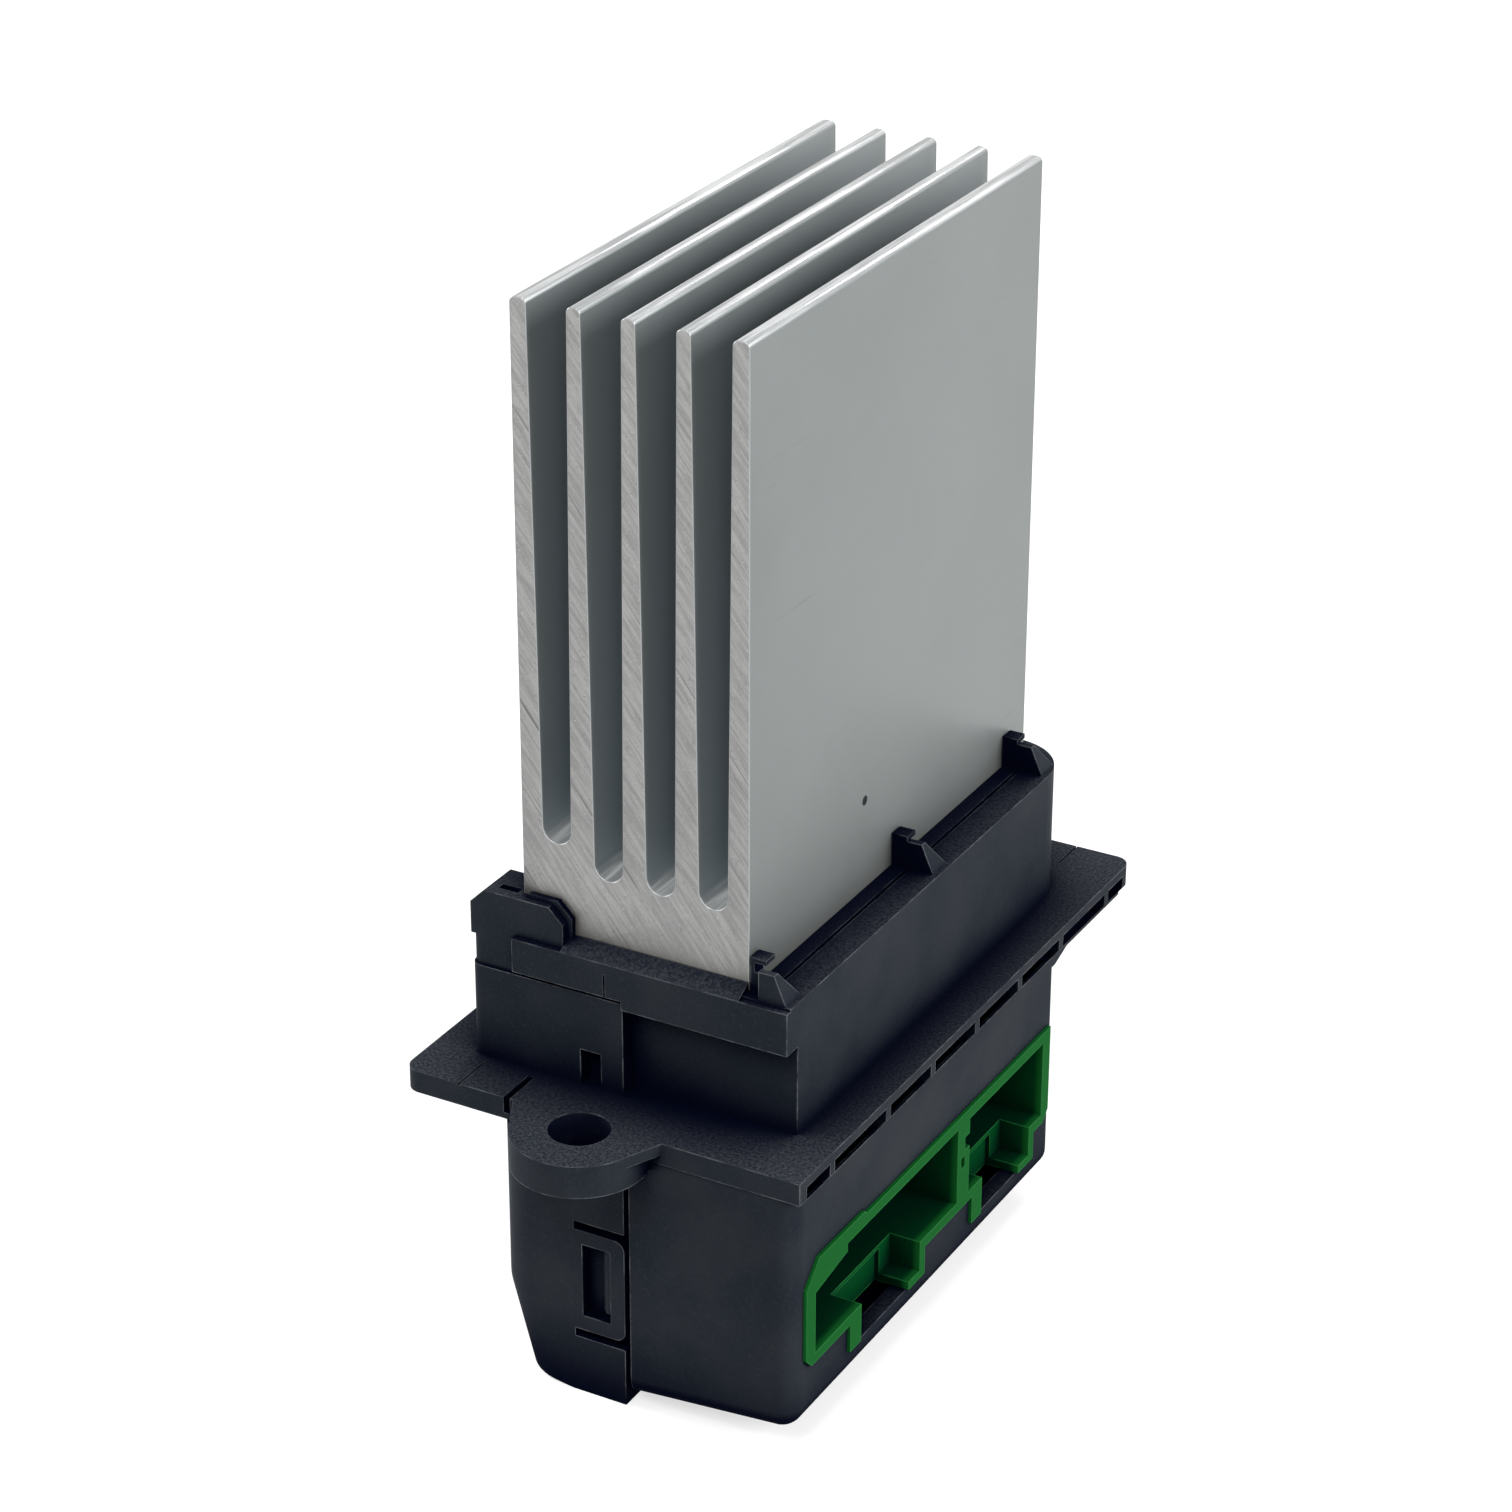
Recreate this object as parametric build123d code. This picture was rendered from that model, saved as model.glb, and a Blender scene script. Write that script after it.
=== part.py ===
from build123d import *
import os

os.makedirs("parts", exist_ok=True)

# Blower motor resistor, in millimetres.
# +X is the side that the sockets face, -Y is the sawn end of the heat sink that the
# photograph shows, and +Z runs up along the fins. The origin is on the top face of the
# mounting flange, under the middle of the heat sink.

# Clearances
SLIDE_FIT = 0.1
SNAP_GAP = 0.5
INSERT_FIT = 0.05
THREAD_FIT = 0.05
WAY_MARGIN = 0.5

# Width and depth of the fine lines that the mould leaves
FINE_LINE = 0.15

# Heat sink extrusion
SINK_WIDTH = 21.8
SINK_LENGTH = 52.0
SINK_SEAT_Z = 9.6
FIN_TIP_Z = 69.5
GAP_FLOOR_Z = 19.3
FIRST_GAP_RISE = 2.3
GAP_COUNT = 4
GAP_PITCH = 5.0
GAP_TOP_WIDTH = 3.7
GAP_BOTTOM_WIDTH = 2.7
FIN_TIP_ROUND = 0.5
WEB_THICKNESS = 5.0
WEB_BOTTOM_Z = -9.0
WEB_FRONT_Y = -17.5
WEB_BACK_Y = 8.5
WEB_EDGE_ROUND = 0.8

# Mounting flange
FLANGE_WIDTH = 38.8
FLANGE_LENGTH = 65.4
FLANGE_THICKNESS = 2.1
PLATE_THICKNESS = 0.9
RIM_THICKNESS = 1.2
FLANGE_CORNER = 1.5
POCKET_INSET = 0.7
POCKET_BOTTOM_Z = -3.0
POCKET_LIP = 0.3
POCKET_DROP = 3.8
BOX_GUSSET_LENGTH = 3.4
BOX_GUSSET_DROP = 1.1
RIB_THICKNESS = 0.8
POCKET_RIB_PLACES = (-16.9, -8.5, 0.1, 8.7, 17.3)
FIRST_POCKET_RIB = 5.7
LAST_POCKET_RIB = 5.6
BACK_RIB_PLACES = (-15.5, -5.2, 5.2, 15.5)

# Screw ears, one at each end, half a turn apart
EAR_OFFSET_X = 0.9
EAR_OFFSET_Y = 34.0
EAR_RADIUS = 6.0
EAR_THICKNESS = 3.1
EAR_FLARE_LEFT = 7.7
EAR_FLARE_RIGHT = 7.2
EAR_PLATE_THICKNESS = 1.1
EAR_SLOT_WIDTH = 0.6
EAR_SLOT_LENGTH = 4.0
EAR_SLOT_DEPTH = 1.5
EAR_GROOVE_X = -13.7
MOUNT_HOLE = 5.4

# Collar round the foot of the heat sink
COLLAR_WIDTH = 31.0
COLLAR_LENGTH = 52.0
COLLAR_TOP = 12.7
COLLAR_WALL = 2.2
COLLAR_FLOOR = 2.6
COLLAR_BACK_CORNER = 5.6
COLLAR_FRONT_CORNER = 1.0
END_WALL = 1.3
BAND_GROWTH = 1.9
BAND_BOTTOM_Z = 8.5
BAND_TOP_Z = 12.5
BAND_LEFT_X = -11.1
BAND_SEAM_X = -2.0
PANEL_GROWTH = 1.6
PANEL_TOP_Z = 8.9
PANEL_GAP = 0.4
PANEL_RIGHT_X = -0.4
PANEL_NOTCH_X = -4.6
PANEL_NOTCH_WIDTH = 2.0
PANEL_NOTCH_HEIGHT = 3.4
PANEL_NOTCH_DEPTH = 1.5

# Raised corner of the collar, and the slope beside it
CAP_TOP_Z = 16.1
CAP_RIGHT_X = -6.3
CAP_SLANT = 1.4
CAP_SIDE_LENGTH = 3.0
CAP_LIP_RISE = 0.4
CAP_LIP_THICKNESS = 0.5
CAP_LIP_REACH = 0.5
CAP_SLOT_X = -13.2
CAP_SLOT_WIDTH = 1.9
RAMP_TOP_Z = 13.4

# Rail along the right of the heat sink, with its groove and clip stations
LINER_WIDTH = 1.45
LINER_GROOVE = 0.3
LINER_GROOVE_DEPTH = 3.0
STATION_PLACES = (-27.2, -0.6, 21.3)
GUSSET_INSET = 0.5
GUSSET_TOP_X = 13.9
GUSSET_TOP_Z = 15.35
GUSSET_FOOT_LENGTH = 2.6
GUSSET_TOP_LENGTH = 0.6
HOOK_SETBACKS = (1.2, 0.0, 0.0)
HOOK_LENGTH = 1.5
HOOK_THICKNESS = 1.5
HOOK_TOP_Z = 15.8

# Box below the flange, open on its left side
BOX_RIGHT_X = 18.7
BOX_FRONT_Y = -32.5
BOX_BACK_Y = 17.7
BOX_WALL = 1.5
BOX_BOTTOM_LEFT_Z = -26.8
BOX_BOTTOM_RIGHT_Z = -25.4
BOX_EDGE_ROUND = 2.0
BOX_FRONT_CORNER = 1.9
BOX_BACK_CORNER = 0.9
BOX_OPEN_X = -3.0
LAP_WALL = 1.1
SEAM_X = 2.4
HALL_LEFT_X = -8.2

# Side cover and its two windowed tongues
COVER_LEFT_X = -10.6
COVER_WALL = 1.2
COVER_TOP_GAP = 0.05
COVER_BEND_Z = -19.0
COVER_BEND_ROUND = 5.0
COVER_TOE_X = -8.4
COVER_TOE_Z = -26.9
COVER_BOTTOM_Z = -27.7
COVER_CORNER = 3.4
TONGUE_LEFT_X = -2.6
TONGUE_TOP_Z = -11.2
TONGUE_BOTTOM_Z = -21.3
TONGUE_SLOT = 0.8
TONGUE_CORNER = 1.0
WINDOW_LEFT_X = -1.8
WINDOW_RIGHT_X = 0.95
WINDOW_TOP_Z = -12.6
WINDOW_BOTTOM_Z = -19.8
CATCH_LENGTH = 1.0
CATCH_RAMP = 0.6
CATCH_SHORTFALL = 0.9

# Green connector insert
INSERT_PROUD = 0.3
INSERT_FRONT_Y = -30.6
INSERT_BACK_Y = 16.6
INSERT_BASE_X = 7.0
INSERT_BASE_THICKNESS = 1.3
INSERT_TOP_Z = -10.0
INSERT_HUMP = 0.4
HUMP_BACK_Y = -20.2
INSERT_CORNER = 2.2
INSERT_RIM = 1.0
SOCKET_TOP_Z = -11.1
SOCKET_BOTTOM_Z = -18.8
WIDE_SOCKET_Y = (-29.0, -2.3)
NARROW_SOCKET_Y = (0.0, 15.1)
WIDE_LATCH_Y = (-20.6, -9.5)
NARROW_LATCH_Y = (2.8, 12.6)
LATCH_BOTTOM_Z = -22.6
LATCH_SETBACK = 3.0
LATCH_NOTCH_SETBACK = 3.4
LATCH_FOOT_WIDTH = 2.1
LATCH_FOOT_HEIGHT = 0.8
LEFT_CHEEK = 2.0
RIGHT_CHEEK = 1.0
CODING_STEP_Y = -23.3
CODING_STEP = 0.8
CODING_SLOPE = 0.9
KEYWAY_DEPTH = 0.9
KEYWAY_Z = (-13.9, -12.6)
SLIT_Y = (-1.6, -0.9)
SLIT_Z = (-15.6, -14.5)
SLIT_DEPTH = 3.0

# Circuit board
BOARD_THICKNESS = 1.6
BOARD_FRONT_Y = -29.6
BOARD_BACK_Y = 14.4
BOARD_TOP_Z = -3.4
BOARD_BOTTOM_Z = -23.4

# Blades of the wide socket and pins of the narrow one
BLADE_WIDTH = 6.3
BLADE_THICKNESS = 0.8
BLADE_TAIL_WIDTH = 3.0
BLADE_PLACES = (-22.6, -7.4)
BLADE_TIP_CHAMFER = 1.0
PIN_WIDTH = 0.8
PIN_PLACES = (3.2, 8.35, 13.5)
TERMINAL_TIP_X = 15.3
TERMINAL_Z = -15.4
TERMINAL_TAIL = 1.2

# Power transistors with their pad, clamp and screw
TRANSISTOR_WIDTH = 10.0
TRANSISTOR_HEIGHT = 15.0
TRANSISTOR_BODY_HEIGHT = 9.2
TRANSISTOR_THICKNESS = 4.4
TAB_THICKNESS = 1.3
TAB_HOLE = 3.6
TRANSISTOR_PLACES = (-12.4, 3.4)
TRANSISTOR_BOTTOM_Z = -8.2
LEG_WIDTH = 0.8
LEG_THICKNESS = 0.6
LEG_PITCH = 2.54
LEG_SETBACK = 2.4
LEG_DROP = 2.8
PAD_THICKNESS = 0.3
CLIP_THICKNESS = 0.6
CLIP_HEIGHT = 6.0
CLIP_MARGIN = 0.15
CLIP_ARM = 6.5
CLIP_SCREW = 2.5
CLIP_SCREW_HEAD = 4.0
CLIP_SCREW_HEAD_HEIGHT = 1.6
CLIP_SCREW_LENGTH = 5.0

# Screws that hold the heat sink, from below
SINK_SCREW = 3.0
SINK_SCREW_HEAD = 5.4
SINK_SCREW_HEAD_HEIGHT = 2.0
SINK_SCREW_LENGTH = 9.0
SINK_SCREW_MARGIN = 3.4
DRIVE_WIDTH = 2.2
DRIVE_DEPTH = 1.1

# Tall parts on the board
CAN_DIAMETER = 8.0
CAN_HEIGHT = 12.0
CAN_PLACES = (-15.0, -1.6)
CAN_Z = -17.8
CAN_EDGE = 0.5
CAN_BEAD_DEPTH = 0.3
CAN_BEAD_WIDTH = 0.8
CAN_BEAD_OFFSET = 3.4
CAN_BASE_WIDTH = 8.2
CAN_BASE_THICKNESS = 1.2
CAN_BASE_CORNER = 1.4
CAN_CONTACT_WIDTH = 0.9
CAN_CONTACT_LENGTH = 9.6
CAN_CONTACT_THICKNESS = 0.3
LEAD_DIAMETER = 0.8
CHOKE_DIAMETER = 9.6
CHOKE_NECK = 5.0
CHOKE_HEIGHT = 9.0
CHOKE_FLANGE = 1.6
CHOKE_LEAD_PITCH = 6.0
CHOKE_Y = -23.6
CHOKE_Z = -9.4
WIRE_DIAMETER = 1.1
WIRE_TURNS = 4
WIRE_FIT = 0.05

# Small parts on the board: width along Y, height along Z, thickness off the board
SHUNT_SIZE = (7.0, 3.0, 0.8)
SHUNT_PLACE = (-24.4, -19.4)
SHUNT_STANDOFF = 1.6
SENSOR_SIZE = (2.0, 1.3, 0.9)
SENSOR_PLACE = (12.0, -12.0)
CHIP_SIZE = (6.0, 4.0, 1.5)
CHIP_PLACE = (-6.0, -6.4)
CHIP_LEG_COUNT = 4
CHIP_LEG_REACH = 0.9
CHIP_LEG_PITCH = 1.27
CHIP_LEG_WIDTH = 0.42
CHIP_LEG_THICKNESS = 0.3
DIODE_SIZE = (4.6, 3.2, 2.2)
DIODE_PLACE = (6.5, -6.4)
CERAMIC_SIZE = (2.0, 1.25, 1.2)
CERAMIC_PLACES = ((-12.5, -5.2), (-12.5, -7.8), (0.6, -6.4))
CHIP_RESISTOR_SIZE = (1.6, 0.8, 0.5)
CHIP_RESISTOR_PLACES = ((-16.5, -5.2), (-16.5, -7.8), (-19.8, -6.5))

# Places worked out from the sizes above
SINK_X = SINK_WIDTH / 2
SINK_Y = SINK_LENGTH / 2
WEB_X = WEB_THICKNESS / 2
FLANGE_X = FLANGE_WIDTH / 2
FLANGE_Y = FLANGE_LENGTH / 2
COLLAR_X = COLLAR_WIDTH / 2
COLLAR_Y = COLLAR_LENGTH / 2
END_WALL_Y = COLLAR_Y + END_WALL
BAND_Y = COLLAR_Y + BAND_GROWTH
PANEL_Y = COLLAR_Y + PANEL_GROWTH
COLLAR_FLOOR_Z = SINK_SEAT_Z - COLLAR_FLOOR
RAIL_X = SINK_X + SLIDE_FIT
UNDER_FLANGE_Z = -FLANGE_THICKNESS
INNER_RIGHT_X = BOX_RIGHT_X - BOX_WALL
INNER_FRONT_Y = BOX_FRONT_Y + BOX_WALL
INNER_BACK_Y = BOX_BACK_Y - BOX_WALL
COVER_INNER_FRONT_Y = BOX_FRONT_Y + COVER_WALL
COVER_INNER_BACK_Y = BOX_BACK_Y - COVER_WALL
LAP_DEPTH = COVER_WALL + SLIDE_FIT
HOUSING_SEAM_X = SEAM_X + SNAP_GAP
INSERT_FACE_X = BOX_RIGHT_X + INSERT_PROUD
SOCKET_FLOOR_X = INSERT_BASE_X + INSERT_BASE_THICKNESS
BOARD_RIGHT_X = INSERT_BASE_X - SLIDE_FIT
BOARD_LEFT_X = BOARD_RIGHT_X - BOARD_THICKNESS
TAIL_X = BOARD_LEFT_X - TERMINAL_TAIL
PAD_X = -WEB_X - PAD_THICKNESS
TRANSISTOR_FACE_X = PAD_X - TRANSISTOR_THICKNESS
LEG_X = PAD_X - LEG_SETBACK - LEG_THICKNESS
POCKET_X = BOX_RIGHT_X - POCKET_INSET
POCKET_RIBS = (-FLANGE_Y + FIRST_POCKET_RIB, *POCKET_RIB_PLACES, FLANGE_Y - LAST_POCKET_RIB)
CLIP_Y = sum(TRANSISTOR_PLACES) / 2
CLIP_Z = TRANSISTOR_BOTTOM_Z + CLIP_HEIGHT / 2 + 1
LEG_Z = TRANSISTOR_BOTTOM_Z - LEG_DROP
SINK_SCREW_PLACES = (WEB_FRONT_Y - SINK_SCREW_MARGIN, WEB_BACK_Y + SINK_SCREW_MARGIN)
BEYOND = 1.0


def span(x, y, z):
    """A block between two limits along each axis."""
    size = (x[1] - x[0], y[1] - y[0], z[1] - z[0])
    middle = ((x[0] + x[1]) / 2, (y[0] + y[1]) / 2, (z[0] + z[1]) / 2)
    return Pos(*middle) * Box(*size)


def centred(middle, length):
    """Two limits with the given middle and length."""
    return (middle - length / 2, middle + length / 2)


def rod(start, direction, radius, length):
    """A round bar from a start point along a direction."""
    return extrude(Plane(origin=start, z_dir=direction) * Circle(radius), length)


def turned(points, y, z):
    """A round body about an axis along X, with its outline given in X and radius."""
    section = make_face(Polyline(*[(x, y + radius, z) for x, radius in points], close=True))
    return revolve(section, Axis((0, y, z), (1, 0, 0)))


def along_y(points, y0, y1):
    """A prism with its outline given in X and Z, from y0 to y1."""
    face = make_face(Polyline(*[(x, y0, z) for x, z in points], close=True))
    return extrude(face, y1 - y0, dir=(0, 1, 0))


def along_x(points, x0, x1):
    """A prism with its outline given in Y and Z, from x0 to x1."""
    face = make_face(Polyline(*[(x0, y, z) for y, z in points], close=True))
    return extrude(face, x1 - x0, dir=(1, 0, 0))


def upright_edges(shape, x, y, reach=0.4):
    """The long edges that stand close to one place."""
    found = []
    for edge in shape.edges().filter_by(Axis.Z):
        middle = edge.center()
        if abs(middle.X - x) < reach and abs(middle.Y - y) < reach:
            found.append(edge)
    return found


def save(shape, name):
    shape.label = name
    export_step(shape, "parts/" + name + ".step")


# Heat sink


def sink_gap(number):
    """One tapered gap between two fins, with a round bottom."""
    x = (number - (GAP_COUNT - 1) / 2) * GAP_PITCH
    floor = GAP_FLOOR_Z + (FIRST_GAP_RISE if number == 0 else 0)
    radius = GAP_BOTTOM_WIDTH / 2
    half_top = GAP_TOP_WIDTH / 2
    left = [(x - radius, floor + radius), (x - half_top, FIN_TIP_Z)]
    right = [(x + half_top, FIN_TIP_Z), (x + radius, floor + radius)]
    return Polygon(*left, *right, align=None) + Pos(x, floor + radius) * Circle(radius)


def sink_profile():
    height = FIN_TIP_Z - SINK_SEAT_Z
    profile = Pos(0, SINK_SEAT_Z + height / 2) * Rectangle(SINK_WIDTH, height)
    for number in range(GAP_COUNT):
        profile -= sink_gap(number)
    tips = [v for v in profile.vertices() if v.Y > FIN_TIP_Z - 0.01]
    return fillet(tips, FIN_TIP_ROUND)


def make_heat_sink():
    section = Plane(origin=(0, SINK_Y, 0), x_dir=(1, 0, 0), z_dir=(0, -1, 0)) * sink_profile()
    body = extrude(section, SINK_LENGTH)
    web = span((-WEB_X, WEB_X), (WEB_FRONT_Y, WEB_BACK_Y), (WEB_BOTTOM_Z, SINK_SEAT_Z + BEYOND))
    web = fillet(web.faces().sort_by(Axis.Z)[0].edges().filter_by(Axis.Y), WEB_EDGE_ROUND)
    body += web
    for y in SINK_SCREW_PLACES:
        depth = SINK_SCREW_LENGTH - COLLAR_FLOOR + BEYOND
        body -= rod((0, y, SINK_SEAT_Z), (0, 0, 1), SINK_SCREW / 2, depth)
    body -= rod((-WEB_X, CLIP_Y, CLIP_Z), (1, 0, 0), CLIP_SCREW / 2, WEB_THICKNESS)
    return body


# Main housing


def make_flange():
    """The flange plate, ribbed below where it stands out behind the box."""
    flange = span((-FLANGE_X, FLANGE_X), (-FLANGE_Y, FLANGE_Y), (UNDER_FLANGE_Z, 0))
    corners = upright_edges(flange, -FLANGE_X, -FLANGE_Y)
    corners += upright_edges(flange, -FLANGE_X, FLANGE_Y)
    corners += upright_edges(flange, FLANGE_X, FLANGE_Y)
    flange = fillet(corners, FLANGE_CORNER)
    inner_x = FLANGE_X - RIM_THICKNESS
    inner_y = FLANGE_Y - RIM_THICKNESS
    under = (UNDER_FLANGE_Z, -PLATE_THICKNESS)
    flange -= span((-inner_x, POCKET_X - RIM_THICKNESS), (BOX_BACK_Y, inner_y), under)
    flange += span((-inner_x, POCKET_X), centred(POCKET_RIBS[-1], RIB_THICKNESS), under)
    for x in BACK_RIB_PLACES:
        flange += span(centred(x, RIB_THICKNESS), (BOX_BACK_Y, inner_y), under)
    # A beam in line with the box's right wall closes the pockets behind it.
    beam_x = (POCKET_X - RIM_THICKNESS, BOX_RIGHT_X)
    beam_y = (BOX_BACK_Y - BOX_BACK_CORNER, inner_y)
    flange += span(beam_x, beam_y, (POCKET_BOTTOM_Z - POCKET_LIP, -PLATE_THICKNESS))
    low = POCKET_BOTTOM_Z - BOX_GUSSET_DROP
    gusset = [(BOX_BACK_Y, low), (BOX_BACK_Y + BOX_GUSSET_LENGTH, POCKET_BOTTOM_Z)]
    gusset += [(beam_y[0], POCKET_BOTTOM_Z), (beam_y[0], low)]
    flange += along_x(gusset, BOX_RIGHT_X - RIM_THICKNESS, BOX_RIGHT_X)
    # Below its edge the flange leans back to the box, so the ribs end flush with the box's face.
    lean = [(FLANGE_X, UNDER_FLANGE_Z), (BOX_RIGHT_X, POCKET_BOTTOM_Z), (BOX_RIGHT_X, UNDER_FLANGE_Z)]
    return flange + along_y(lean, -inner_y, inner_y)


def flange_pockets():
    """Pockets in the flange's +X edge, open into the box, with a rib left between each two."""
    stops = [-FLANGE_Y + RIM_THICKNESS]
    for y in POCKET_RIBS:
        stops += centred(y, RIB_THICKNESS)
    stops.append(FLANGE_Y - RIM_THICKNESS - FLANGE_CORNER / 2)
    lip_x = BOX_RIGHT_X - POCKET_LIP
    deep_x = INNER_RIGHT_X - BEYOND
    throat = [(lip_x, -PLATE_THICKNESS), (lip_x, POCKET_BOTTOM_Z)]
    throat += [(deep_x, POCKET_BOTTOM_Z - POCKET_DROP), (deep_x, -PLATE_THICKNESS)]
    pockets = []
    for number in range(0, len(stops), 2):
        y = (stops[number], stops[number + 1])
        pocket = span((POCKET_X, FLANGE_X + BEYOND), y, (POCKET_BOTTOM_Z, -PLATE_THICKNESS))
        if y[0] < INNER_BACK_Y:
            pocket += along_y(throat, max(y[0], INNER_FRONT_Y), min(y[1], INNER_BACK_Y))
        pockets.append(pocket)
    return pockets


def make_ear():
    """Screw ear on the -Y edge: a round lobe whose straight sides flare into the flange."""
    x = -EAR_OFFSET_X
    y = -EAR_OFFSET_Y
    root = -FLANGE_Y + RIM_THICKNESS
    outline = Polygon(
        (x - EAR_FLARE_LEFT, root),
        (x - EAR_FLARE_LEFT, -FLANGE_Y + RIM_THICKNESS / 2),
        (x - EAR_RADIUS * 0.82, y - EAR_RADIUS * 0.57),
        (x + EAR_RADIUS * 0.87, y - EAR_RADIUS * 0.49),
        (x + EAR_RADIUS * 0.87, root),
        align=None,
    )
    outline += Pos(x, y) * Circle(EAR_RADIUS)
    lobe = extrude(Pos(0, 0, -EAR_THICKNESS) * outline, EAR_THICKNESS)
    # The right flare is only a thin plate.
    flare = Polygon(
        (x, root),
        (x + EAR_RADIUS * 0.87, y - EAR_RADIUS * 0.49),
        (x + EAR_FLARE_RIGHT, -FLANGE_Y),
        (x + EAR_FLARE_RIGHT, root),
        align=None,
    )
    return lobe + extrude(Pos(0, 0, -EAR_PLATE_THICKNESS) * flare, EAR_PLATE_THICKNESS)


def ear_cuts():
    """Screw hole, the slot beside the ear and the fine groove further out."""
    x = -EAR_OFFSET_X
    slot_x = x - EAR_FLARE_LEFT
    low = -EAR_THICKNESS - BEYOND
    hole = rod((x, -EAR_OFFSET_Y, low), (0, 0, 1), MOUNT_HOLE / 2, EAR_THICKNESS + 2 * BEYOND)
    slot_y = (-FLANGE_Y - BEYOND, -FLANGE_Y + EAR_SLOT_LENGTH)
    slot = span((slot_x - EAR_SLOT_WIDTH, slot_x), slot_y, (-EAR_SLOT_DEPTH, BEYOND))
    groove = span(centred(EAR_GROOVE_X, FINE_LINE), slot_y, (-FINE_LINE, BEYOND))
    return hole + slot + groove


def make_cap():
    """Raised corner at the front left of the collar, with slanted ends and a thin lip behind."""
    low = COLLAR_TOP - BEYOND
    outline = [(-COLLAR_X, low), (-COLLAR_X, CAP_TOP_Z), (CAP_RIGHT_X, CAP_TOP_Z), (CAP_RIGHT_X, low)]
    wall = along_y(outline, -END_WALL_Y, -SINK_Y - SLIDE_FIT)
    side_y = (-END_WALL_Y, -SINK_Y + CAP_SIDE_LENGTH)
    wall += span((-COLLAR_X, -SINK_X - SLIDE_FIT), side_y, (low, CAP_TOP_Z))
    ends = wall.edges().filter_by(Axis.Y).group_by(Axis.Z)[-1]
    wall = chamfer([e for e in ends if abs(e.center().X + SINK_X) > 1], CAP_SLANT)
    lip_right = CAP_RIGHT_X + CAP_LIP_REACH
    lip_left = -SINK_X - CAP_LIP_REACH
    lip_top = CAP_TOP_Z + CAP_LIP_RISE
    lip_outline = [(lip_left, low), (lip_left, lip_top), (lip_right, lip_top), (lip_right, low)]
    lip_back = -SINK_Y - SLIDE_FIT
    lip = along_y(lip_outline, lip_back - CAP_LIP_THICKNESS, lip_back)
    lip_ends = lip.edges().filter_by(Axis.Y).group_by(Axis.Z)[-1]
    lip = chamfer(lip_ends, CAP_SLANT)
    slot_x = (CAP_SLOT_X, CAP_SLOT_X + CAP_SLOT_WIDTH)
    slot_y = (lip_back - CAP_LIP_THICKNESS / 2, lip_back + CAP_LIP_THICKNESS)
    return wall + lip - span(slot_x, slot_y, (COLLAR_TOP, lip_top + BEYOND))


def make_front_ramp():
    """Sloping top of the end wall behind the band."""
    back = -SINK_Y - SLIDE_FIT
    low = BAND_TOP_Z - BEYOND
    outline = [(-BAND_Y, low), (-BAND_Y, BAND_TOP_Z), (back, RAMP_TOP_Z), (back, low)]
    return along_x(outline, CAP_RIGHT_X, SINK_X)


def make_collar():
    collar = span((-COLLAR_X, COLLAR_X), (-END_WALL_Y, END_WALL_Y), (-PLATE_THICKNESS, COLLAR_TOP))
    back = upright_edges(collar, COLLAR_X, END_WALL_Y) + upright_edges(collar, -COLLAR_X, END_WALL_Y)
    collar = fillet(back, COLLAR_BACK_CORNER)
    collar = fillet(upright_edges(collar, -COLLAR_X, -END_WALL_Y), COLLAR_FRONT_CORNER)
    # Under the band the right half of the front wall stands back.
    front = (-END_WALL_Y - BEYOND, -COLLAR_Y)
    collar -= span((PANEL_RIGHT_X, COLLAR_X + BEYOND), front, (0, BAND_BOTTOM_Z))
    band = span((BAND_LEFT_X, COLLAR_X), (-BAND_Y, -COLLAR_Y), (BAND_BOTTOM_Z, BAND_TOP_Z))
    band_room = (-BAND_Y - BEYOND, -COLLAR_Y)
    band -= span((BAND_LEFT_X - BEYOND, PANEL_RIGHT_X), band_room, (0, PANEL_TOP_Z + PANEL_GAP))
    band -= span(centred(BAND_SEAM_X, FINE_LINE), (-BAND_Y - BEYOND, -BAND_Y + FINE_LINE), (0, COLLAR_TOP))
    panel = span((-COLLAR_X, PANEL_RIGHT_X), (-PANEL_Y, -COLLAR_Y), (-PLATE_THICKNESS, PANEL_TOP_Z))
    panel = fillet(upright_edges(panel, -COLLAR_X, -PANEL_Y), COLLAR_FRONT_CORNER)
    notch_x = (PANEL_NOTCH_X, PANEL_NOTCH_X + PANEL_NOTCH_WIDTH)
    notch_y = (-PANEL_Y - BEYOND, -PANEL_Y + PANEL_NOTCH_DEPTH)
    notch = span(notch_x, notch_y, (0, PANEL_NOTCH_HEIGHT))
    gap_y = (-END_WALL_Y - BEYOND, -END_WALL_Y + PANEL_GAP)
    gap = span((BAND_LEFT_X, PANEL_RIGHT_X), gap_y, (PANEL_TOP_Z, PANEL_TOP_Z + PANEL_GAP))
    return collar + band + panel + make_cap() + make_front_ramp() - notch - gap


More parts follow.
